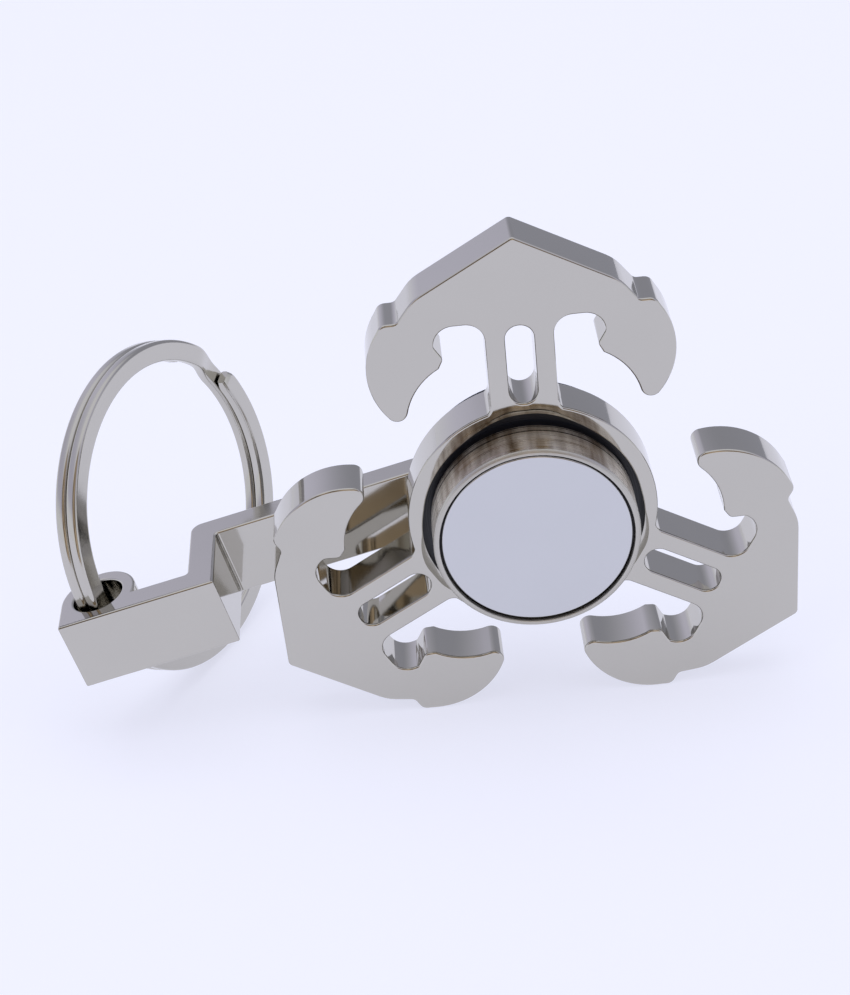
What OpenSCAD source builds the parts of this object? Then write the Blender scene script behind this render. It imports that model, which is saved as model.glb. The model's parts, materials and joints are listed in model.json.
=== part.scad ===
// Anchor-armed fidget spinner on a stepped key-ring bracket.
// Each module is drawn in working axes: X to the right, Y along the top arm and
// Z along the spin axis towards the user, with Z = 0 on the front face of the body.
// stand() then turns the spin axis to -Y and puts the origin on the finger pad.

/* [Spinner body] */
// Thickness of the flat body
body_t = 4.1; // [4:0.1:6]
// Outer radius of the hub ring
hub_r = 10.35; // [10.2:0.05:11]
// Distance from the spin axis to the point of an anchor
apex_r = 25.3; // [24:0.1:27]
// Depth of the bearing's front face below the body's front face
bearing_inset = 0.8; // [0.6:0.1:1]
// Radius of the opening in the shoulder in front of the bearing
mouth_r = 9.1; // [9:0.05:9.4]

/* [Anchor arms] */
// Number of anchor arms
arms = 3; // [2:1:4]
// Half the width of the shank across both ribs
shank_w = 2.75; // [2.5:0.05:3]
// Half the width of the slot between the ribs
slot_w = 1.16; // [1:0.02:1.3]
// Inner end of the slot, from the spin axis
slot_in = 10.6; // [10.55:0.05:11.5]
// Outer end of the slot, from the spin axis
slot_out = 17.6; // [16:0.1:18]
// Radius of the outer curve of a fluke
fluke_r = 6.5; // [6.4:0.05:6.6]
// Radius of the rounded tip of a fluke
tip_r = 0.85; // [0.7:0.05:0.9]

/* [Front cap] */
// Outer radius of the cap
cap_r = 8.48; // [8.2:0.02:8.6]
// Height of the cap's rim above the body
rim_z = 3.9; // [3.5:0.1:5]
// Radius of the mirror disc set in the cap
disc_r = 7.8; // [7.4:0.05:7.85]

/* [Bearing] */
// Bore of the bearing
bearing_bore = 10; // [10]
// Outer diameter of the bearing
bearing_od = 19; // [19]
// Width of the bearing
bearing_w = 5; // [5]
// Diameter of one ball
ball_d = 2.381; // [2.381]
// Number of balls
balls = 11; // [9:1:12]

/* [Bracket] */
// Direction of the bracket from the spin axis, in degrees from +X
bracket_angle = 193; // [180:1:210]
// Width of the strap
strap_w = 6.5; // [6:0.1:7]
// Thickness of the strap
strap_t = 2.4; // [2:0.1:2.8]
// Distance from the spin axis to the inner face of the riser
riser_s = 27.05; // [26.6:0.05:28]
// Height of the foot's front face above the body's front face
foot_z = 0.55; // [0:0.05:1]
// Radius of the hole for the split ring
eye_r = 2.2; // [2.1:0.05:2.4]

/* [Split ring] */
// Outer diameter of the split ring
ring_od = 29.4; // [28:0.1:30]
// Radial width of the ring's wire
wire_w = 1.85; // [1.7:0.05:1.9]
// Thickness of one coil of the wire
wire_t = 1.08; // [1:0.02:1.1]

/* [Hidden] */
$fn = 96;
eps = 0.01;

// Depths along the spin axis
seat_z = -bearing_inset;            // front face of the bearing
bearing_z = seat_z - bearing_w / 2; // middle of the bearing
spacer_z = seat_z - bearing_w;      // front of the rear spacer
arm_z = -6.95;                      // front face of the strap behind the body
strap_back = arm_z - strap_t;       // rear face of the strap
disc_t = 0.4;
adhesive_t = 0.1;
groove_w = 0.2;                     // width of the groove round the mirror disc
pad_z = rim_z - 0.2;                // front face of the mirror disc

// Bearing section
pitch_r = (bearing_bore + bearing_od) / 4;
ball_r = ball_d / 2;
race_groove_r = ball_r + 0.046;
inner_land = pitch_r - ball_r + 0.25;
outer_land = pitch_r + ball_r - 0.25;
seal_r = 8.4;
seal_t = 0.4;
seal_inset = 0.15;
fit_gap = 0.02;                     // radial gap of a fitted pair on one body

cage_back = ball_r + 0.45;          // from the middle of the balls to the back of the cage
cage_front = 0.5;                   // and to the front of the cage, whose pockets are open there
cage_wall = 0.6;                    // half the radial thickness of the cage

// Cap, spacer and screw
spigot_r = bearing_bore / 2 - fit_gap;
spigot_end = arm_z + 0.1;
shoulder_r = inner_land - 0.35;
screw_r = 2;
screw_head_r = 3.8;
screw_tip = -1.2;
hex_r = 1.45;

// Bracket and split ring
riser_out = riser_s + strap_t;
foot_back = foot_z - strap_t;
boss_r = 3.35;
boss_s = 37.65;                     // along the strap, from the spin axis
boss_z = -2.83;
pad_r = 7.5;
ring_r = ring_od / 2;
coil_gap = 0.05;
ring_tilt = 62.2;                   // angle of the ring's plane behind the strap's direction
ring_reach = 12.95;                 // from the hole's axis to the ring's centre, along its plane
ring_lift = 3.06;                   // ring's centre above the middle of the strap
ring_step = 147;                    // angle of the wire's step, round the ring from the hole
joint_gap = 9;                      // half the angle left for the wire's step between coils

function ball_name(i) = str("bearing_ball_", i < 10 ? "0" : "", i);

// Points on a circular arc, from angle a0 to a1
function arc(centre, r, a0, a1, steps) =
    [for (i = [0:steps]) let (a = a0 + (a1 - a0) * i / steps)
        [centre[0] + r * cos(a), centre[1] + r * sin(a), 0]];

// A closed outline from corners [x, y, fillet radius]
function unit(v) = v / norm(v);
function corner(p, q, s) =
    q[2] == 0 ? [[q[0], q[1]]] :
    let (o = [q[0], q[1]],
         u = unit([p[0], p[1]] - o),
         v = unit([s[0], s[1]] - o),
         half = acos(u * v) / 2,
         centre = o + unit(u + v) * q[2] / sin(half),
         start = o + u * q[2] / tan(half) - centre,
         side = cross(u, v) > 0 ? -1 : 1,
         sweep = 180 - 2 * half,
         steps = ceil(sweep / 9))
    [for (i = [0:steps]) let (a = side * sweep * i / steps)
        centre + [start[0] * cos(a) - start[1] * sin(a), start[0] * sin(a) + start[1] * cos(a)]];
function outline(c) = let (n = len(c))
    [for (i = [0:n - 1]) each corner(c[(i + n - 1) % n], c[i], c[(i + 1) % n])];
function mirrored(c) = [for (i = [len(c) - 1:-1:0]) [-c[i][0], c[i][1], c[i][2]]];

// Right half of an anchor, from just past the apex round the fluke to the hub
function anchor_half() = concat(
    [[8.15, 20.75, 3.6],
     [9.6, 18.85, 0.6],
     [10.85, 18.85, 0.8]],
    arc([12.37 - fluke_r, 14.48], fluke_r, 34, -39.4, 18),
    arc([10.24, 10.9], tip_r, -48, -158, 8),
    arc([3.75, 9.4], 5.8, 13, 61, 10),
    [[6.15, 15.3, 0.5],
     [6.85, 16.45, 0.5],
     [6.55, 18.1, 1.6],
     [shank_w, 18.1, 1.55],
     [shank_w, hub_r - 0.35, 1],
     [4.1, 9.35, 0]]);

module stand() {
    rotate([90, 0, 0])
        translate([0, 0, -pad_z])
            children();
}

module along_bracket() {
    rotate([0, 0, bracket_angle])
        children();
}

module tube(r_out, r_in, z0, z1) {
    translate([0, 0, z0])
        difference() {
            cylinder(r = r_out, h = z1 - z0);
            translate([0, 0, -1])
                cylinder(r = r_in, h = z1 - z0 + 2);
        }
}

module slot() {
    translate([-slot_w, slot_in + slot_w, -body_t - 1])
        cube([2 * slot_w, slot_out - slot_in - 2 * slot_w, body_t + 2]);
    for (y = [slot_in + slot_w, slot_out - slot_w])
        translate([0, y, -body_t - 1])
            cylinder(r = slot_w, h = body_t + 2, $fn = 48);
}

module spinner_body() {
    color("gainsboro")
        stand()
            difference() {
                translate([0, 0, -body_t])
                    union() {
                        cylinder(r = hub_r, h = body_t);
                        for (i = [0:arms - 1])
                            rotate([0, 0, i * 360 / arms])
                                linear_extrude(body_t)
                                    polygon(outline(concat(
                                        [[0, apex_r, 0.5]],
                                        anchor_half(),
                                        mirrored(anchor_half()))));
                    }
                for (i = [0:arms - 1])
                    rotate([0, 0, i * 360 / arms])
                        slot();
                translate([0, 0, -body_t - 1])
                    cylinder(r = mouth_r, h = body_t + 2);
                translate([0, 0, -body_t - 1])
                    cylinder(r = bearing_od / 2 + fit_gap, h = body_t + 1 + seat_z + fit_gap);
            }
}

module race_groove() {
    translate([0, 0, bearing_z])
        rotate_extrude()
            translate([pitch_r, 0])
                circle(r = race_groove_r, $fn = 48);
}

module bearing_outer_race() {
    color("#14161c")
        stand()
            difference() {
                tube(bearing_od / 2, outer_land, bearing_z - bearing_w / 2, bearing_z + bearing_w / 2);
                race_groove();
                for (side = [-1, 1])
                    translate([0, 0, bearing_z + side * (bearing_w / 2 - (seal_inset + seal_t) / 2 + 0.5)])
                        cylinder(r = seal_r, h = seal_inset + seal_t + 1, center = true);
            }
}

module bearing_inner_race() {
    color("silver")
        stand()
            difference() {
                tube(inner_land, bearing_bore / 2, bearing_z - bearing_w / 2, bearing_z + bearing_w / 2);
                race_groove();
            }
}

module bearing_seal(side) {
    color("black")
        stand()
            translate([0, 0, bearing_z + side * (bearing_w / 2 - seal_inset - seal_t / 2)])
                tube(seal_r - fit_gap, inner_land + 0.05, -seal_t / 2, seal_t / 2);
}

module bearing_cage() {
    color("ivory")
        stand()
            difference() {
                tube(pitch_r + cage_wall, pitch_r - cage_wall, bearing_z - cage_back, bearing_z + cage_front);
                for (i = [1:balls])
                    ball_place(i)
                        sphere(r = ball_r + 0.06, $fn = 48);
            }
}

module ball_place(i) {
    rotate([0, 0, i * 360 / balls])
        translate([pitch_r, 0, bearing_z])
            children();
}

module bearing_ball(i) {
    color("lightsteelblue")
        stand()
            ball_place(i)
                sphere(r = ball_r, $fn = 48);
}

module front_cap() {
    color("silver")
        stand()
            difference() {
                rotate_extrude()
                    polygon([
                        [0, spigot_end],
                        [spigot_r - 0.3, spigot_end],
                        [spigot_r, spigot_end + 0.3],
                        [spigot_r, seat_z],
                        [shoulder_r, seat_z],
                        [shoulder_r, 0],
                        [cap_r - 1.3, 0],
                        [cap_r - 1.3, -0.3],
                        [cap_r - 0.15, -0.3],
                        [cap_r, -0.15],
                        [cap_r, rim_z - 0.2],
                        [cap_r - 0.2, rim_z],
                        [disc_r + groove_w, rim_z],
                        [disc_r + groove_w, pad_z - disc_t - adhesive_t],
                        [0, pad_z - disc_t - adhesive_t]]);
                translate([0, 0, strap_back])
                    cylinder(r = screw_r + fit_gap, h = screw_tip - strap_back + 0.3);
            }
}

module mirror_disc() {
    color("lightsteelblue")
        stand()
            rotate_extrude()
                polygon([
                    [0, pad_z - disc_t],
                    [disc_r, pad_z - disc_t],
                    [disc_r, pad_z - 0.08],
                    [disc_r - 0.08, pad_z],
                    [0, pad_z]]);
}

// Black glue under the disc, squeezed out into the groove round it
module disc_adhesive() {
    color("black")
        stand()
            translate([0, 0, pad_z - disc_t - adhesive_t])
                cylinder(r = disc_r + groove_w - 0.05, h = adhesive_t);
}

module rear_spacer() {
    color("silver")
        stand()
            tube(inner_land - 0.15, bearing_bore / 2, arm_z, spacer_z);
}

module clamp_screw() {
    color("dimgray")
        stand()
            difference() {
                rotate_extrude()
                    polygon([
                        [0, strap_back],
                        [screw_head_r, strap_back],
                        [screw_head_r, strap_back + 0.2],
                        [screw_r, strap_back + 0.2 + screw_head_r - screw_r],
                        [screw_r, screw_tip - 0.3],
                        [screw_r - 0.3, screw_tip],
                        [0, screw_tip]]);
                translate([0, 0, strap_back - 1])
                    cylinder(r = hex_r, h = 2.5, $fn = 6);
            }
}

// Side profile of the strap: X is the distance from the spin axis
function strap_profile() = concat(
    [[0, arm_z, 0],
     [0, strap_back, 0],
     [riser_out, strap_back, 1],
     [riser_out, foot_back, 0.3]],
    arc([boss_s, boss_z], boss_r, 163, 360, 36),
    [[boss_s + boss_r, foot_z, 0.12],
     [riser_s, foot_z, 0.12],
     [riser_s, arm_z, 0.3]]);

module bracket() {
    color("gainsboro")
        stand()
            difference() {
                union() {
                    along_bracket()
                        rotate([90, 0, 0])
                            linear_extrude(strap_w, center = true)
                                polygon(outline(strap_profile()));
                    translate([0, 0, strap_back])
                        cylinder(r = pad_r, h = strap_t);
                }
                along_bracket()
                    translate([boss_s, 0, boss_z])
                        rotate([90, 0, 0])
                            cylinder(r = eye_r, h = strap_w + 2, center = true);
                translate([0, 0, strap_back - 1])
                    cylinder(r = screw_r + 0.15, h = strap_t + 2);
                translate([0, 0, strap_back - eps])
                    cylinder(r1 = screw_head_r + 0.1, r2 = screw_head_r + 0.1, h = 0.2 + eps);
                translate([0, 0, strap_back + 0.2 - eps])
                    cylinder(r1 = screw_head_r + 0.1, r2 = screw_r + 0.1, h = screw_head_r - screw_r + eps);
            }
}

// Rounded section of one coil, drawn in from the wire's surface by inset
module coil_section(inset = 0) {
    bevel = 0.3;
    x = wire_w / 2 - bevel;
    y = wire_t / 2 - bevel;
    translate([ring_r - wire_w / 2, 0]) {
        square([2 * x, 2 * (y + bevel - inset)], center = true);
        square([2 * (x + bevel - inset), 2 * y], center = true);
        for (side_x = [-x, x])
            for (side_y = [-y, y])
                translate([side_x, side_y])
                    circle(r = bevel - inset, $fn = 32);
    }
}

module coil(side) {
    translate([0, 0, side * (wire_t + coil_gap) / 2])
        rotate([0, 0, joint_gap])
            rotate_extrude(angle = 360 - 2 * joint_gap)
                coil_section();
}

// The wire's step from one coil to the other
module coil_step() {
    hull()
        for (side = [-1, 1])
            translate([0, 0, side * (wire_t + coil_gap) / 2])
                rotate([0, 0, side * (joint_gap + 0.2) - 0.2])
                    rotate_extrude(angle = 0.4)
                        coil_section(0.03);
}

module split_ring() {
    color("silver")
        stand()
            along_bracket()
                translate([boss_s, 0, boss_z])
                    rotate([0, -ring_tilt, 0])
                        translate([-ring_reach, -ring_lift, 0])
                            rotate([0, 0, -ring_step]) {
                                coil(-1);
                                coil(1);
                                coil_step();
                            }
}

spinner_body();
bearing_outer_race();
bearing_seal(1);  // bearing_seal_front
bearing_seal(-1);  // bearing_seal_rear
bearing_cage();
for (i = [1:balls])
    bearing_ball(i);
bearing_inner_race();
front_cap();
mirror_disc();
disc_adhesive();
rear_spacer();
clamp_screw();
bracket();
split_ring();
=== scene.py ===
"""Looks of the anchor fidget spinner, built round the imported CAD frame."""

import json
import math

import bmesh
import bpy
from mathutils import Matrix, Vector


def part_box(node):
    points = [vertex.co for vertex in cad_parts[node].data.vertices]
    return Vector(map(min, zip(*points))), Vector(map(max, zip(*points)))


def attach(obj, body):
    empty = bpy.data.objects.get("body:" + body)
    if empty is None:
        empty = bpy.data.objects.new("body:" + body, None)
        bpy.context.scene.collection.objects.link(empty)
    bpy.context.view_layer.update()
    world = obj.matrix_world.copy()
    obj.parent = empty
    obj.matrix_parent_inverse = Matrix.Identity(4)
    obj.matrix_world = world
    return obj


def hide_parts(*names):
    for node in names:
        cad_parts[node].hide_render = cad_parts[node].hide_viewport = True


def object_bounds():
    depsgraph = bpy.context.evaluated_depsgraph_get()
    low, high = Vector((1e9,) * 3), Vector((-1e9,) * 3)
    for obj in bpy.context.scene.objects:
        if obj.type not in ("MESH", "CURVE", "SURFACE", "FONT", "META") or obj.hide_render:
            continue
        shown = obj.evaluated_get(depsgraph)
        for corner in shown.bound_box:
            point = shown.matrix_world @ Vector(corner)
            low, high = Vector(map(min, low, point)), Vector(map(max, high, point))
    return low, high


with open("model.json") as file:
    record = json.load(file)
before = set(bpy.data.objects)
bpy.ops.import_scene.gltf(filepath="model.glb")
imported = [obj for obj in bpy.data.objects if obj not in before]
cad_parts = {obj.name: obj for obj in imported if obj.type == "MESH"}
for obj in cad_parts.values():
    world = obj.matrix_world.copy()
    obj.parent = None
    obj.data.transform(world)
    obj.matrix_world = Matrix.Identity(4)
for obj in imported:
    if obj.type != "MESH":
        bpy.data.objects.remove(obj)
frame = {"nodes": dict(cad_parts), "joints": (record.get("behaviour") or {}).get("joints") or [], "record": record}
cad_low, cad_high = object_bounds()
MM = 0.001
JOINTS = {j["name"]: j for j in frame["joints"]}
MOUNTS = {m["name"]: m for m in frame["record"]["mounts"]}
FLOOR_Z = cad_low.z
GUARD = 0.03 * MM  # narrow flat band that keeps a flat face's shading clear of its rolled edge
EDGE_ROLL = 0.2 * MM  # radius of the rolled edges of the body and the strap
EDGE_STEPS = 5  # facets across a rolled edge
SEAT_GAP = 0.02 * MM  # gap round and in front of the bearing
MOUTH_GROWTH = 0.4 * MM  # how much the mouth of the bore widens at an arm's root
LIP_WIDTH = 0.6 * MM  # width of the dressed lip at an arm's root
LIP_EDGE = 0.05 * MM  # and all the way round
LIP_DEPTH = 0.48  # depth of the lip over its width

# Camera, as angles round the object
CAMERA_ELEVATION = 31.8
CAMERA_AZIMUTH = 0.55
CAMERA_ROLL = -6.2
CAMERA_DISTANCE = 184.2 * MM
CAMERA_AIM = Vector((-8.78, 6.1, 1.28)) * MM
CAMERA_LENS = 80

# Plating and paint, as linear colours
NICKEL = (0.54, 0.523, 0.476)
PALE_NICKEL = (0.60, 0.607, 0.624)
FLOOR_COLOUR = (0.25, 0.258, 0.29)
FLOOR_GLOW = (0.612, 0.62, 0.72)


# ---------- small node helpers ----------

def new_material(name, base, metallic, roughness, **sockets):
    """A material with one Principled BSDF, and its node tree."""
    material = bpy.data.materials.new(name)
    material.use_nodes = True
    tree = material.node_tree
    bsdf = tree.nodes["Principled BSDF"]
    bsdf.inputs["Base Color"].default_value = (*base, 1)
    bsdf.inputs["Metallic"].default_value = metallic
    bsdf.inputs["Roughness"].default_value = roughness
    for socket, value in sockets.items():
        bsdf.inputs[socket].default_value = value
    return material, tree, bsdf


def add(tree, kind, **values):
    """A new node. A key names a property, or an input socket if the node has no such property."""
    node = tree.nodes.new(kind)
    for key, value in values.items():
        if hasattr(node, key):
            setattr(node, key, value)
        else:
            node.inputs[key].default_value = value
    return node


def object_position(tree):
    return add(tree, "ShaderNodeTexCoord").outputs["Object"]


def stretched(tree, scale):
    """The object's own coordinates, scaled by a different factor along each axis."""
    mapping = add(tree, "ShaderNodeMapping", Scale=scale)
    tree.links.new(object_position(tree), mapping.inputs["Vector"])
    return mapping.outputs["Vector"]


def noise(tree, vector, size, detail=3.0, roughness=0.5):
    """Noise with features about size metres across."""
    node = add(tree, "ShaderNodeTexNoise", Scale=1 / size, Detail=detail, Roughness=roughness)
    tree.links.new(vector, node.inputs["Vector"])
    return node.outputs["Fac"]


def remap(tree, value, low, high):
    node = add(tree, "ShaderNodeMapRange")
    tree.links.new(value, node.inputs["Value"])
    node.inputs["From Min"].default_value = 0.3
    node.inputs["From Max"].default_value = 0.7
    node.inputs["To Min"].default_value = low
    node.inputs["To Max"].default_value = high
    return node.outputs["Result"]


def tint(tree, bsdf, value, low, high):
    """Colours the surface between low and high by value."""
    mix = add(tree, "ShaderNodeMix", data_type="RGBA")
    tree.links.new(value, mix.inputs["Factor"])
    mix.inputs["A"].default_value = (*low, 1)
    mix.inputs["B"].default_value = (*high, 1)
    tree.links.new(mix.outputs["Result"], bsdf.inputs["Base Color"])


def bump(tree, height, depth, below=None):
    """A bump of that depth in metres, on top of another bump."""
    node = add(tree, "ShaderNodeBump", Distance=depth, Strength=1.0)
    tree.links.new(height, node.inputs["Height"])
    if below is not None:
        tree.links.new(below, node.inputs["Normal"])
    return node.outputs["Normal"]


def polar_lines(tree, radial_size, axial_size):
    """Lathe marks round the spin axis: noise read along the radius and along the axis only."""
    split = add(tree, "ShaderNodeSeparateXYZ")
    tree.links.new(object_position(tree), split.inputs["Vector"])
    flat = add(tree, "ShaderNodeCombineXYZ")
    tree.links.new(split.outputs["X"], flat.inputs["X"])
    tree.links.new(split.outputs["Z"], flat.inputs["Y"])
    radius = add(tree, "ShaderNodeVectorMath", operation="LENGTH")
    tree.links.new(flat.outputs["Vector"], radius.inputs["Vector"])
    across = add(tree, "ShaderNodeMath", operation="MULTIPLY")
    across.inputs[1].default_value = 1 / radial_size
    tree.links.new(radius.outputs["Value"], across.inputs[0])
    along = add(tree, "ShaderNodeMath", operation="MULTIPLY")
    along.inputs[1].default_value = 1 / axial_size
    tree.links.new(split.outputs["Y"], along.inputs[0])
    joined = add(tree, "ShaderNodeCombineXYZ")
    tree.links.new(across.outputs["Value"], joined.inputs["X"])
    tree.links.new(along.outputs["Value"], joined.inputs["Y"])
    lines = add(tree, "ShaderNodeTexNoise", Scale=1.0, Detail=2.0)
    tree.links.new(joined.outputs["Vector"], lines.inputs["Vector"])
    return lines.outputs["Fac"]


# ---------- materials ----------

def plated(name, base, roughness=0.07, wave_depth=6e-6):
    """Mirror-polished plating: slow waves left by the polishing wheel, and faint hairlines.

    Depths are in metres."""
    material, tree, bsdf = new_material(name, base, 1.0, roughness)
    place = object_position(tree)
    cloudy = noise(tree, place, 7 * MM)
    tree.links.new(remap(tree, cloudy, roughness * 0.7, roughness * 1.5), bsdf.inputs["Roughness"])
    tint(tree, bsdf, cloudy, [c * 0.975 for c in base], [min(1, c * 1.02) for c in base])
    waves = bump(tree, noise(tree, place, 3.5 * MM, 1.0), wave_depth)
    hairlines = bump(tree, noise(tree, stretched(tree, (1, 1, 9)), 0.6 * MM, 2.0), 1.5e-7, waves)
    tree.links.new(hairlines, bsdf.inputs["Normal"])
    return material


def turned(name, base, roughness=0.1, depth=7e-7, metallic=1.0):
    """Lathe-turned metal: rings round the spin axis under a polish."""
    material, tree, bsdf = new_material(name, base, metallic, roughness)
    rings = polar_lines(tree, 0.12 * MM, 0.16 * MM)
    tree.links.new(remap(tree, rings, roughness * 0.6, roughness * 1.6), bsdf.inputs["Roughness"])
    tint(tree, bsdf, noise(tree, object_position(tree), 2 * MM), [c * 0.93 for c in base], base)
    waves = bump(tree, noise(tree, object_position(tree), 2.5 * MM, 2.0), 8e-6)
    tree.links.new(bump(tree, rings, depth, waves), bsdf.inputs["Normal"])
    return material


def spun_with_painted_reflection(name, base, reflection_dark, reflection_light):
    """Turned plating, blurred along the axis, with painted reflection: patches between two colours on the upper
    side of its wall.
    """
    material = turned(name, base, 0.3)
    tree = material.node_tree
    bsdf = tree.nodes["Principled BSDF"]
    bsdf.inputs["Anisotropic"].default_value = 0.8
    bsdf.inputs["Anisotropic Rotation"].default_value = 0.25
    around = add(tree, "ShaderNodeTangent", direction_type="RADIAL", axis="Y")
    tree.links.new(around.outputs["Tangent"], bsdf.inputs["Tangent"])
    clean = bsdf.inputs["Base Color"].links[0].from_socket
    # painted reflection: dark brown and pale patches stand in for the surroundings mirrored in the wall
    patches = noise(tree, stretched(tree, (1, 0.12, 1)), 1.5 * MM, 3.0, 0.65)
    tint(tree, bsdf, remap(tree, patches, 0, 1), reflection_dark, reflection_light)
    painted_reflection = bsdf.inputs["Base Color"].links[0].from_socket
    # where the painted reflection goes: the wall behind the rim, fading in towards its upper side
    depth = add(tree, "ShaderNodeSeparateXYZ")
    tree.links.new(object_position(tree), depth.inputs["Vector"])
    side = add(tree, "ShaderNodeMapRange")
    tree.links.new(depth.outputs["Y"], side.inputs["Value"])
    side.inputs["From Min"].default_value = 0
    side.inputs["From Max"].default_value = 0.15 * MM
    upper = add(tree, "ShaderNodeMapRange", interpolation_type="SMOOTHSTEP")
    tree.links.new(depth.outputs["Z"], upper.inputs["Value"])
    upper.inputs["From Min"].default_value = 0
    upper.inputs["From Max"].default_value = 5 * MM
    share = add(tree, "ShaderNodeMath", operation="MULTIPLY")
    tree.links.new(side.outputs["Result"], share.inputs[0])
    tree.links.new(upper.outputs["Result"], share.inputs[1])
    mix = add(tree, "ShaderNodeMix", data_type="RGBA")
    tree.links.new(share.outputs["Value"], mix.inputs["Factor"])
    tree.links.new(clean, mix.inputs["A"])
    tree.links.new(painted_reflection, mix.inputs["B"])
    tree.links.new(mix.outputs["Result"], bsdf.inputs["Base Color"])
    return material


def rubber(name):
    material, tree, bsdf = new_material(name, (0.012, 0.013, 0.019), 0.0, 0.55)
    grain = noise(tree, object_position(tree), 0.15 * MM, 4.0)
    tree.links.new(remap(tree, grain, 0.45, 0.65), bsdf.inputs["Roughness"])
    tint(tree, bsdf, grain, (0.009, 0.010, 0.015), (0.017, 0.018, 0.026))
    tree.links.new(bump(tree, grain, 8e-6), bsdf.inputs["Normal"])
    return material


def moulded(name, low, high, roughness):
    """Moulded plastic: a fine grain and slow changes of shade."""
    material, tree, bsdf = new_material(name, high, 0.0, roughness)
    shade = noise(tree, object_position(tree), 1.2 * MM, 4.0)
    tint(tree, bsdf, shade, low, high)
    tree.links.new(remap(tree, shade, roughness * 0.85, roughness * 1.15), bsdf.inputs["Roughness"])
    grain = noise(tree, object_position(tree), 0.08 * MM, 3.0)
    tree.links.new(bump(tree, grain, 3e-6), bsdf.inputs["Normal"])
    return material


# ---------- pieces ----------

def welded(node):
    """A bmesh of a CAD node with its seams closed and its flat faces joined."""
    mesh = bmesh.new()
    mesh.from_mesh(frame["nodes"][node].data)
    bmesh.ops.remove_doubles(mesh, verts=mesh.verts, dist=1e-6)
    bmesh.ops.dissolve_limit(
        mesh,
        angle_limit=math.radians(0.4),
        verts=mesh.verts,
        edges=mesh.edges,
        use_dissolve_boundaries=False,
    )
    bmesh.ops.recalc_face_normals(mesh, faces=mesh.faces)
    return mesh


def rounded(node, name, width, body, material, wide=None, sharp_above=32, segments=3):
    """A piece that stands for a CAD node, with every sharp edge rounded over width.

    wide(edge) may give an edge another width."""
    mesh = welded(node)
    widest = width
    chosen = []
    for edge in mesh.edges:
        if len(edge.link_faces) == 2 and edge.calc_face_angle(0) > math.radians(sharp_above):
            own = (wide(edge) if wide else None) or width
            chosen.append((edge.index, own))
            widest = max(widest, own)
    data = bpy.data.meshes.new(name)
    mesh.edges.index_update()
    mesh.to_mesh(data)
    mesh.free()
    weights = data.attributes.new("bevel_weight_edge", "FLOAT", "EDGE")
    for index, own in chosen:
        weights.data[index].value = own / widest
    piece = bpy.data.objects.new(name, data)
    bpy.context.scene.collection.objects.link(piece)
    bevel = piece.modifiers.new("edges", "BEVEL")
    bevel.limit_method = "WEIGHT"
    bevel.offset_type = "OFFSET"
    bevel.width = widest
    bevel.segments = segments
    bevel.use_clamp_overlap = False
    settle(piece)
    return finish_piece(piece, body, material, node)


def mark_sharp(data, above=38):
    """Edges that turn by more than that many degrees stay crisp."""
    mesh = bmesh.new()
    mesh.from_mesh(data)
    for edge in mesh.edges:
        edge.smooth = not (len(edge.link_faces) == 2 and edge.calc_face_angle(0) > math.radians(above))
    mesh.to_mesh(data)
    mesh.free()


def settle(piece):
    """Replaces a piece's mesh by what its modifiers make of it."""
    bpy.context.view_layer.update()
    graph = bpy.context.evaluated_depsgraph_get()
    made = bpy.data.meshes.new_from_object(piece.evaluated_get(graph))
    piece.modifiers.clear()
    piece.data = made
    made.name = piece.name


def finish_piece(piece, body, material, *nodes):
    """Smooth shading that keeps flat faces flat, a material, and the CAD body to ride on."""
    piece.data.materials.clear()
    piece.data.materials.append(material)
    for face in piece.data.polygons:
        face.use_smooth = True
    mark_sharp(piece.data)
    normals = piece.modifiers.new("normals", "WEIGHTED_NORMAL")
    normals.mode = "FACE_AREA_WITH_ANGLE"
    normals.weight = 50
    normals.keep_sharp = True
    settle(piece)
    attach(piece, body)
    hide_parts(*nodes)
    return piece


def edge_loops(mesh, height, flat):
    """The closed loops round the flat faces of a bmesh where height(point) is 0.

    Each loop is a list of flat(point) points."""
    def in_plane(face):
        return all(abs(height(v.co)) < 0.002 * MM for v in face.verts)
    after = {}
    for face in filter(in_plane, mesh.faces):
        for loop in face.loops:
            if not in_plane(loop.link_loop_radial_next.face):
                after[loop.vert] = loop.link_loop_next.vert
    loops = []
    while after:
        points, at = [], next(iter(after))
        while at in after:
            points.append(flat(at.co))
            at = after.pop(at)
        loops.append(points)
    return loops


def signed_area(points):
    return sum(a.cross(b) for a, b in zip(points, points[1:] + points[:1])) / 2


def inward(points, is_outline):
    """Mitred directions into the material at each point of an outline, or of a hole in it."""
    into_left = (signed_area(points) > 0) == is_outline
    found = []
    for i, point in enumerate(points):
        before = (point - points[i - 1]).normalized()
        following = (points[(i + 1) % len(points)] - point).normalized()
        normal_a = Vector((-before.y, before.x))
        normal_b = Vector((-following.y, following.x))
        middle = (normal_a + normal_b).normalized()
        middle /= max(0.5, middle.dot(normal_b))
        found.append(middle if into_left else -middle)
    return found


def bridge(mesh, a, b):
    """A band of quads between two closed rings of vertices."""
    for i in range(len(a)):
        n = (i + 1) % len(a)
        mesh.faces.new((a[i], a[n], b[n], b[i]))


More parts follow.
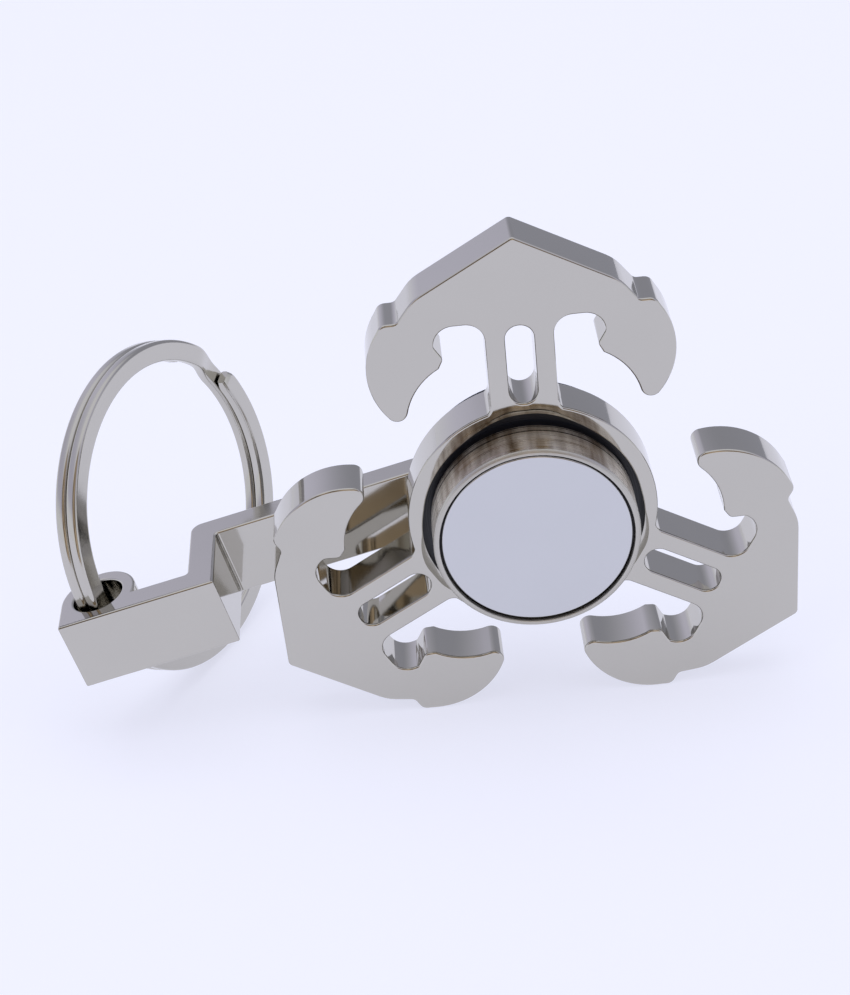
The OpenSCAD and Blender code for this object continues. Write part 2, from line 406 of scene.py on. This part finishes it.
def rolled_walls(mesh, points, is_outline, place, depths):
    """The wall of a prism along one loop, with its edge at either end rolled over.

    Gives the two end rings."""
    into = inward(points, is_outline)
    rim = [p + d * (EDGE_ROLL + GUARD) for p, d in zip(points, into)]
    column = [[mesh.verts.new(place(p, depth)) for p in rim] for depth in depths]
    for k in range(1, EDGE_STEPS + 2):
        turn = math.radians(90 * (k - 1) / EDGE_STEPS)
        shift, sunk = EDGE_ROLL * (1 - math.sin(turn)), EDGE_ROLL * (1 - math.cos(turn))
        ring = [p + d * shift for p, d in zip(points, into)]
        column.insert(k, [mesh.verts.new(place(p, depths[0] + sunk)) for p in ring])
        column.insert(k + 1, [mesh.verts.new(place(p, depths[1] - sunk)) for p in ring])
    for a, b in zip(column, column[1:]):
        bridge(mesh, a, b)
    return column[0], column[-1]


def fill_end(mesh, rings, normal):
    """A flat end face bounded by one ring, with the other rings as its holes."""
    edges = [mesh.edges.get(pair) for ring in rings for pair in zip(ring, ring[1:] + ring[:1])]
    bmesh.ops.triangle_fill(mesh, use_beauty=True, edges=edges, normal=normal)


def unit_circle(count):
    angles = [math.tau * i / count for i in range(count)]
    return [Vector((math.cos(angle), math.sin(angle))) for angle in angles]


def lathe(mesh, profile, count=144):
    """A closed solid turned round the spin axis from a closed profile of (radius, y) points."""
    circle = unit_circle(count)
    rings = [[mesh.verts.new((c.x * r, y, c.y * r)) for c in circle] for r, y in profile]
    for a, b in zip(rings, rings[1:] + rings[:1]):
        bridge(mesh, a, b)


def off_arm(angle):
    """Degrees between a direction and the nearest arm."""
    return abs((math.degrees(angle) - 90 + 60) % 120 - 60)


def mouth_growth(angle):
    """How much the mouth of the bore is widened by hand, mostly at an arm's root."""
    return MOUTH_GROWTH * max(0, 1 - (off_arm(angle) / 40) ** 2) ** 1.5


def lip_reach(angle):
    """How far the dressed lip opens out beyond the mouth, with two humps at each arm."""
    dip = 0.2 * math.exp(-((off_arm(angle) / 5.5) ** 2))
    return LIP_WIDTH * max(0, 1 - (off_arm(angle) / 26) ** 2) ** 1.2 * (1 - dip) + LIP_EDGE


def spinner_body(name, material):
    """The anchor-armed body: a flat casting with rolled edges and slots.

    Its bore has a shoulder in front of the bearing, with a dressed lip."""
    low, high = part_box("spinner_body")
    front, back = low.y, high.y
    source = welded("spinner_body")
    loops = edge_loops(source, lambda co: co.y - front, lambda co: Vector((co.x, co.z)))
    source.free()
    loops.sort(key=lambda points: max(p.length for p in points))
    mouth, slots, outline = loops[0][0].length, loops[1:-1], loops[-1]
    race_low, race_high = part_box("bearing_outer_race")
    seat, shoulder = race_high.x + SEAT_GAP, race_low.y - SEAT_GAP
    mesh = bmesh.new()
    fronts, backs = [], []
    for points in [outline, *slots]:
        ends = rolled_walls(
            mesh, points, points is outline, lambda p, y: (p.x, y, p.y), (front, back)
        )
        fronts.append(ends[0])
        backs.append(ends[1])
    circle = unit_circle(180)
    mouths = [mouth + mouth_growth(math.atan2(c.y, c.x)) for c in circle]
    reaches = [lip_reach(math.atan2(c.y, c.x)) for c in circle]

    def lip_ring(share, sunk, guard=0):
        return [
            mesh.verts.new((
                c.x * (m + r * share + guard),
                front + LIP_DEPTH * r * sunk,
                c.y * (m + r * share + guard),
            ))
            for c, m, r in zip(circle, mouths, reaches)
        ]

    column = [lip_ring(1, 0, GUARD)]
    for share, sunk in ((1.0, 0.0), (0.95, 0.08), (0.78, 0.36), (0.4, 0.74), (0.0, 1.0)):
        column.append(lip_ring(share, sunk))
    column.append([mesh.verts.new((c.x * m, shoulder, c.y * m)) for c, m in zip(circle, mouths)])
    for radius, y in ((seat, shoulder), (seat, back - 0.15 * MM), (seat + 0.15 * MM, back)):
        column.append([mesh.verts.new((c.x * radius, y, c.y * radius)) for c in circle])
    for a, b in zip(column, column[1:]):
        bridge(mesh, a, b)
    fill_end(mesh, [*fronts, column[0]], (0, -1, 0))
    fill_end(mesh, [*backs, column[-1]], (0, 1, 0))
    bmesh.ops.recalc_face_normals(mesh, faces=mesh.faces)
    return finish_piece(object_from(mesh, name), "rotor", material, "spinner_body")


def bracket(name, material):
    """The stepped strap with its eye, joined to the round pad that the screw clamps."""
    hinge = JOINTS["key_ring_swing"]
    width_way = Vector(hinge["axis"]).normalized()
    eye = Vector(hinge["pos_m"])
    along = Vector((eye.x, 0, eye.z)).normalized()
    source = welded("bracket")
    half = max(v.co.dot(width_way) for v in source.verts if v.co.dot(along) > 20 * MM)
    loops = edge_loops(
        source, lambda co: co.dot(width_way) - half, lambda co: Vector((co.dot(along), co.y))
    )
    pad_radius = max(-v.co.dot(along) for v in source.verts)
    back = max(v.co.y for v in source.verts)
    source.free()
    loops.sort(key=lambda points: max(p.x for p in points) - min(p.x for p in points))
    hole, outline = loops[0], loops[-1]
    head_low, head_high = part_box("clamp_screw")
    spacer_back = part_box("rear_spacer")[1].y
    root = min(p.x for p in outline)
    joined_at = (head_high.x + pad_radius) / 2  # the strap starts inside the pad, clear of the screw
    outline = [Vector((joined_at, p.y)) if p.x < root + 0.01 * MM else p for p in outline]

    def place(p, depth):
        return along * p.x + Vector((0, p.y, 0)) + width_way * depth

    mesh = bmesh.new()
    ends = [
        rolled_walls(mesh, points, points is outline, place, (-half, half))
        for points in (outline, hole)
    ]
    fill_end(mesh, [e[0] for e in ends], -width_way)
    fill_end(mesh, [e[1] for e in ends], width_way)
    bmesh.ops.recalc_face_normals(mesh, faces=mesh.faces)
    strap = object_from(mesh, name)

    head = head_high.x + 0.1 * MM  # countersink for the screw's head
    screw = 2.15 * MM
    cone_top = back - 0.2 * MM
    mesh = bmesh.new()
    profile = [(pad_radius - EDGE_ROLL, spacer_back)]
    for side, y in ((1, spacer_back), (-1, back)):
        turns = [math.radians(90 * k / EDGE_STEPS) for k in range(EDGE_STEPS + 1)]
        arc = [
            (pad_radius - EDGE_ROLL * (1 - math.sin(t)), y + side * EDGE_ROLL * (1 - math.cos(t)))
            for t in turns
        ]
        profile += arc[1:] if side == 1 else list(reversed(arc))
    profile += [
        (head, back),
        (head, cone_top),
        (screw, cone_top - (head - screw)),
        (screw, spacer_back),
    ]
    lathe(mesh, profile)
    bmesh.ops.recalc_face_normals(mesh, faces=mesh.faces)
    pad = object_from(mesh, "pad_tool")
    join = strap.modifiers.new("pad", "BOOLEAN")
    join.operation = "UNION"
    join.solver = "EXACT"
    join.object = pad
    settle(strap)
    bpy.data.objects.remove(pad)
    return finish_piece(strap, "bracket", material, "bracket")


def object_from(mesh, name):
    data = bpy.data.meshes.new(name)
    mesh.to_mesh(data)
    mesh.free()
    piece = bpy.data.objects.new(name, data)
    bpy.context.scene.collection.objects.link(piece)
    return piece


def swept_wire(name, material):
    """The split ring: one flat wire wound into two coils with a step between them."""
    loop = MOUNTS["key_loop"]
    centre = Vector(loop["pos_m"])
    normal = Vector(loop["axis"]).normalized()
    down = -Vector(JOINTS["key_ring_swing"]["axis"]).normalized()
    across = down.cross(normal).normalized()
    down = normal.cross(across)
    radii, heights = [], []
    for vert in frame["nodes"]["split_ring"].data.vertices:
        offset = vert.co - centre
        height = offset.dot(normal)
        heights.append(height)
        radii.append((offset - normal * height).length)
    outer = max(radii)
    width = outer - min(radii)
    gap = 0.05 * MM  # between the coils
    thickness = (max(heights) - min(heights) - gap) / 2
    corner = 0.34 * MM
    step_at = -147  # degrees round the ring from the hole to the step
    step_half = 9  # half the angle over which the wire changes coil
    end_at = 11.5  # angle from the step to either end of the wire
    turn_step = 2
    section = rounded_rectangle(width, thickness, corner, 6)
    first, last = end_at, 720 - end_at
    count = int((last - first) / turn_step)
    mesh = bmesh.new()
    rows = []
    shrink = [0.7, 0.92, 1.0]  # the wire's ends are rounded off
    for i in range(count + 1):
        angle = first + (last - first) * i / count
        share = min(1, max(0, (angle - (360 - step_half)) / (2 * step_half)))
        share = share * share * (3 - 2 * share)
        height = (share - 0.5) * (thickness + gap)
        size = shrink[min(i, count - i, 2)]
        theta = math.radians(angle + step_at)
        outward = across * math.cos(theta) + down * math.sin(theta)
        middle = centre + outward * (outer - width / 2) + normal * height
        rows.append([
            mesh.verts.new(middle + outward * x * size + normal * y * size) for x, y in section
        ])
    for a, b in zip(rows, rows[1:]):
        for k in range(len(section)):
            n = (k + 1) % len(section)
            mesh.faces.new((a[k], a[n], b[n], b[k]))
    mesh.faces.new(list(reversed(rows[0])))
    mesh.faces.new(rows[-1])
    bmesh.ops.recalc_face_normals(mesh, faces=mesh.faces)
    return finish_piece(object_from(mesh, name), "key_ring", material, "split_ring")


def rounded_rectangle(width, height, radius, steps):
    """Corner points of a rounded rectangle about its centre, in order."""
    points = []
    for quarter in range(4):
        sign_x = 1 if quarter in (0, 3) else -1
        sign_y = 1 if quarter in (0, 1) else -1
        for k in range(steps + 1):
            angle = math.radians(90 * quarter + 90 * k / steps)
            points.append((
                sign_x * (width / 2 - radius) + radius * math.cos(angle),
                sign_y * (height / 2 - radius) + radius * math.sin(angle),
            ))
    return points


# ---------- what each piece is made of ----------

body_metal = plated("nickel_body", NICKEL)
bracket_metal = plated("nickel_bracket", NICKEL, 0.09)
ring_metal = plated("nickel_ring", NICKEL, 0.12)
# the cap's wall carries painted reflection, dark brown to pale, on its upper side
cap_metal = spun_with_painted_reflection("nickel_cap_painted_reflection", NICKEL, (0.20, 0.14, 0.09), (0.88, 0.83, 0.74))
spacer_metal = turned("nickel_spacer", NICKEL, 0.26, 7e-7)
disc_metal = plated("mirror_disc", PALE_NICKEL, 0.05, 2e-6)
race_metal = turned("race_steel", (0.42, 0.42, 0.43), 0.22)
# painted shade: the outer race is coloured near-black and not metallic, standing in for the shade in the recess
# round the cap
race_painted_shade = turned("race_painted_shade", (0.009, 0.011, 0.018), 0.35, 3e-7, 0.0)
black_glue = rubber("black_glue")
ball_metal = plated("ball_steel", (0.6, 0.6, 0.61), 0.08, 1e-7)
screw_metal = turned("screw_steel", (0.36, 0.36, 0.36), 0.25)
seal_rubber = rubber("seal_rubber")
cage_nylon = moulded("cage_nylon", (0.50, 0.43, 0.29), (0.62, 0.55, 0.40), 0.45)

spinner_body("body_plated", body_metal)
bracket("bracket_plated", bracket_metal)
rounded("front_cap", "cap_turned", 0.07 * MM, "bracket", cap_metal)
rounded("mirror_disc", "disc_mirror", 0.05 * MM, "bracket", disc_metal)
rounded("rear_spacer", "spacer_turned", 0.12 * MM, "bracket", spacer_metal)
rounded("clamp_screw", "screw_turned", 0.08 * MM, "bracket", screw_metal)
swept_wire("ring_wire", ring_metal)

# CAD nodes shown as they are, with a better material
better_materials = {
    # the outer race carries painted shade
    "bearing_outer_race": race_painted_shade,
    "bearing_inner_race": race_metal,
    "bearing_seal_front": seal_rubber,
    "bearing_seal_rear": seal_rubber,
    "bearing_cage": cage_nylon,
    "disc_adhesive": black_glue,
}
for node in frame["nodes"]:
    if node.startswith("bearing_ball"):
        better_materials[node] = ball_metal
for node, material in better_materials.items():
    frame["nodes"][node].data.materials.clear()
    frame["nodes"][node].data.materials.append(material)


# ---------- studio ----------

def world_zone(tree, direction, inner, outer, below, colour):
    """Blends colour over the colour below it, within inner to outer degrees of a direction."""
    dot = add(tree, "ShaderNodeVectorMath", operation="DOT_PRODUCT")
    tree.links.new(add(tree, "ShaderNodeTexCoord").outputs["Generated"], dot.inputs[0])
    dot.inputs[1].default_value = Vector(direction).normalized()
    ramp = add(tree, "ShaderNodeMapRange", interpolation_type="SMOOTHSTEP")
    tree.links.new(dot.outputs["Value"], ramp.inputs["Value"])
    ramp.inputs["From Min"].default_value = math.cos(math.radians(outer))
    ramp.inputs["From Max"].default_value = math.cos(math.radians(inner))
    mix = add(tree, "ShaderNodeMix", data_type="RGBA")
    tree.links.new(ramp.outputs["Result"], mix.inputs["Factor"])
    tree.links.new(below, mix.inputs["A"])
    if isinstance(colour, tuple):
        mix.inputs["B"].default_value = (*colour, 1)
    else:
        tree.links.new(colour, mix.inputs["B"])
    return mix.outputs["Result"]


def make_world():
    """A pale sky with a grey side to the right behind and a brown patch behind the camera.

    The camera itself sees a plain pale sky."""
    world = bpy.data.worlds.new("studio")
    bpy.context.scene.world = world
    world.use_nodes = True
    tree = world.node_tree
    tree.nodes.clear()
    base = add(tree, "ShaderNodeRGB")
    base.outputs[0].default_value = (0.58, 0.58, 0.74, 1)
    colour = base.outputs[0]
    colour = world_zone(tree, (0, 0, -1), 97, 112, colour, (0.86, 0.88, 0.97))
    colour = world_zone(tree, (-0.25, 0.86, 0.5), 10, 40, colour, (0.71, 0.71, 0.89))
    colour = world_zone(tree, (0.5, 0.8, 0.2), 25, 60, colour, (0.37, 0.38, 0.46))
    colour = world_zone(tree, (0, 0, 1), 20, 60, colour, (0.85, 0.86, 0.95))
    place = add(tree, "ShaderNodeTexCoord").outputs["Generated"]
    patches = add(tree, "ShaderNodeTexNoise", Scale=4.0, Detail=2.0, Roughness=0.5)
    tree.links.new(place, patches.inputs["Vector"])
    ramp = add(tree, "ShaderNodeValToRGB")
    tree.links.new(patches.outputs["Fac"], ramp.inputs["Fac"])
    stops = ramp.color_ramp.elements
    stops[0].position, stops[0].color = 0.34, (0.05, 0.035, 0.022, 1)
    stops[1].position, stops[1].color = 0.64, (0.75, 0.60, 0.46, 1)
    colour = world_zone(tree, (-0.05, -1, 0.5), 32, 44, colour, ramp.outputs["Color"])
    seen = add(tree, "ShaderNodeMix", data_type="RGBA")
    path = add(tree, "ShaderNodeLightPath")
    tree.links.new(path.outputs["Is Camera Ray"], seen.inputs["Factor"])
    tree.links.new(colour, seen.inputs["A"])
    seen.inputs["B"].default_value = (0.87, 0.89, 0.985, 1)
    background = add(tree, "ShaderNodeBackground", Strength=1.0)
    tree.links.new(seen.outputs["Result"], background.inputs["Color"])
    output = add(tree, "ShaderNodeOutputWorld")
    tree.links.new(background.outputs["Background"], output.inputs["Surface"])


def area_light(name, place, size, energy, colour=(1, 1, 1)):
    """A soft panel that lights the floor and isn't mirrored in the plating."""
    data = bpy.data.lights.new(name, "AREA")
    data.shape = "SQUARE"
    data.size = size
    data.energy = energy
    data.color = colour
    light = bpy.data.objects.new(name, data)
    light.location = place
    light.rotation_euler = (CAMERA_AIM - Vector(place)).to_track_quat("-Z", "Y").to_euler()
    light.visible_glossy = False
    bpy.context.scene.collection.objects.link(light)


def make_floor():
    bpy.ops.mesh.primitive_circle_add(vertices=96, radius=3, fill_type="NGON", location=(0, 0, FLOOR_Z))
    floor = bpy.context.object
    floor.name = "floor"
    material, tree, bsdf = new_material("floor_paper", FLOOR_COLOUR, 0.0, 0.7)
    bsdf.inputs["Specular IOR Level"].default_value = 0.1
    bsdf.inputs["Emission Color"].default_value = (*FLOOR_GLOW, 1)
    bsdf.inputs["Emission Strength"].default_value = 1.0
    grain = noise(tree, object_position(tree), 0.02)
    tint(tree, bsdf, grain, [c * 0.99 for c in FLOOR_COLOUR], FLOOR_COLOUR)
    floor.data.materials.append(material)


def make_camera():
    data = bpy.data.cameras.new("camera")
    data.lens = CAMERA_LENS
    camera = bpy.data.objects.new("camera", data)
    azimuth, elevation = math.radians(CAMERA_AZIMUTH), math.radians(CAMERA_ELEVATION)
    back = Vector((
        math.sin(azimuth) * math.cos(elevation),
        -math.cos(azimuth) * math.cos(elevation),
        math.sin(elevation),
    ))
    camera.location = CAMERA_AIM + back * CAMERA_DISTANCE
    aimed = (-back).to_track_quat("-Z", "Y").to_matrix()
    camera.rotation_euler = (aimed @ Matrix.Rotation(math.radians(CAMERA_ROLL), 3, "Z")).to_euler()
    data.clip_start, data.clip_end = 0.01, 20
    bpy.context.scene.collection.objects.link(camera)
    bpy.context.scene.camera = camera


make_world()
make_floor()
make_camera()
area_light("panel_top", (0, 0.05, 0.7), 0.7, 2.1, (1, 0.99, 0.97))
area_light("panel_left", (-0.5, -0.35, 0.4), 0.5, 0.65)
area_light("panel_right", (0.55, -0.2, 0.35), 0.5, 0.65)
bpy.context.scene.view_settings.view_transform = "Standard"
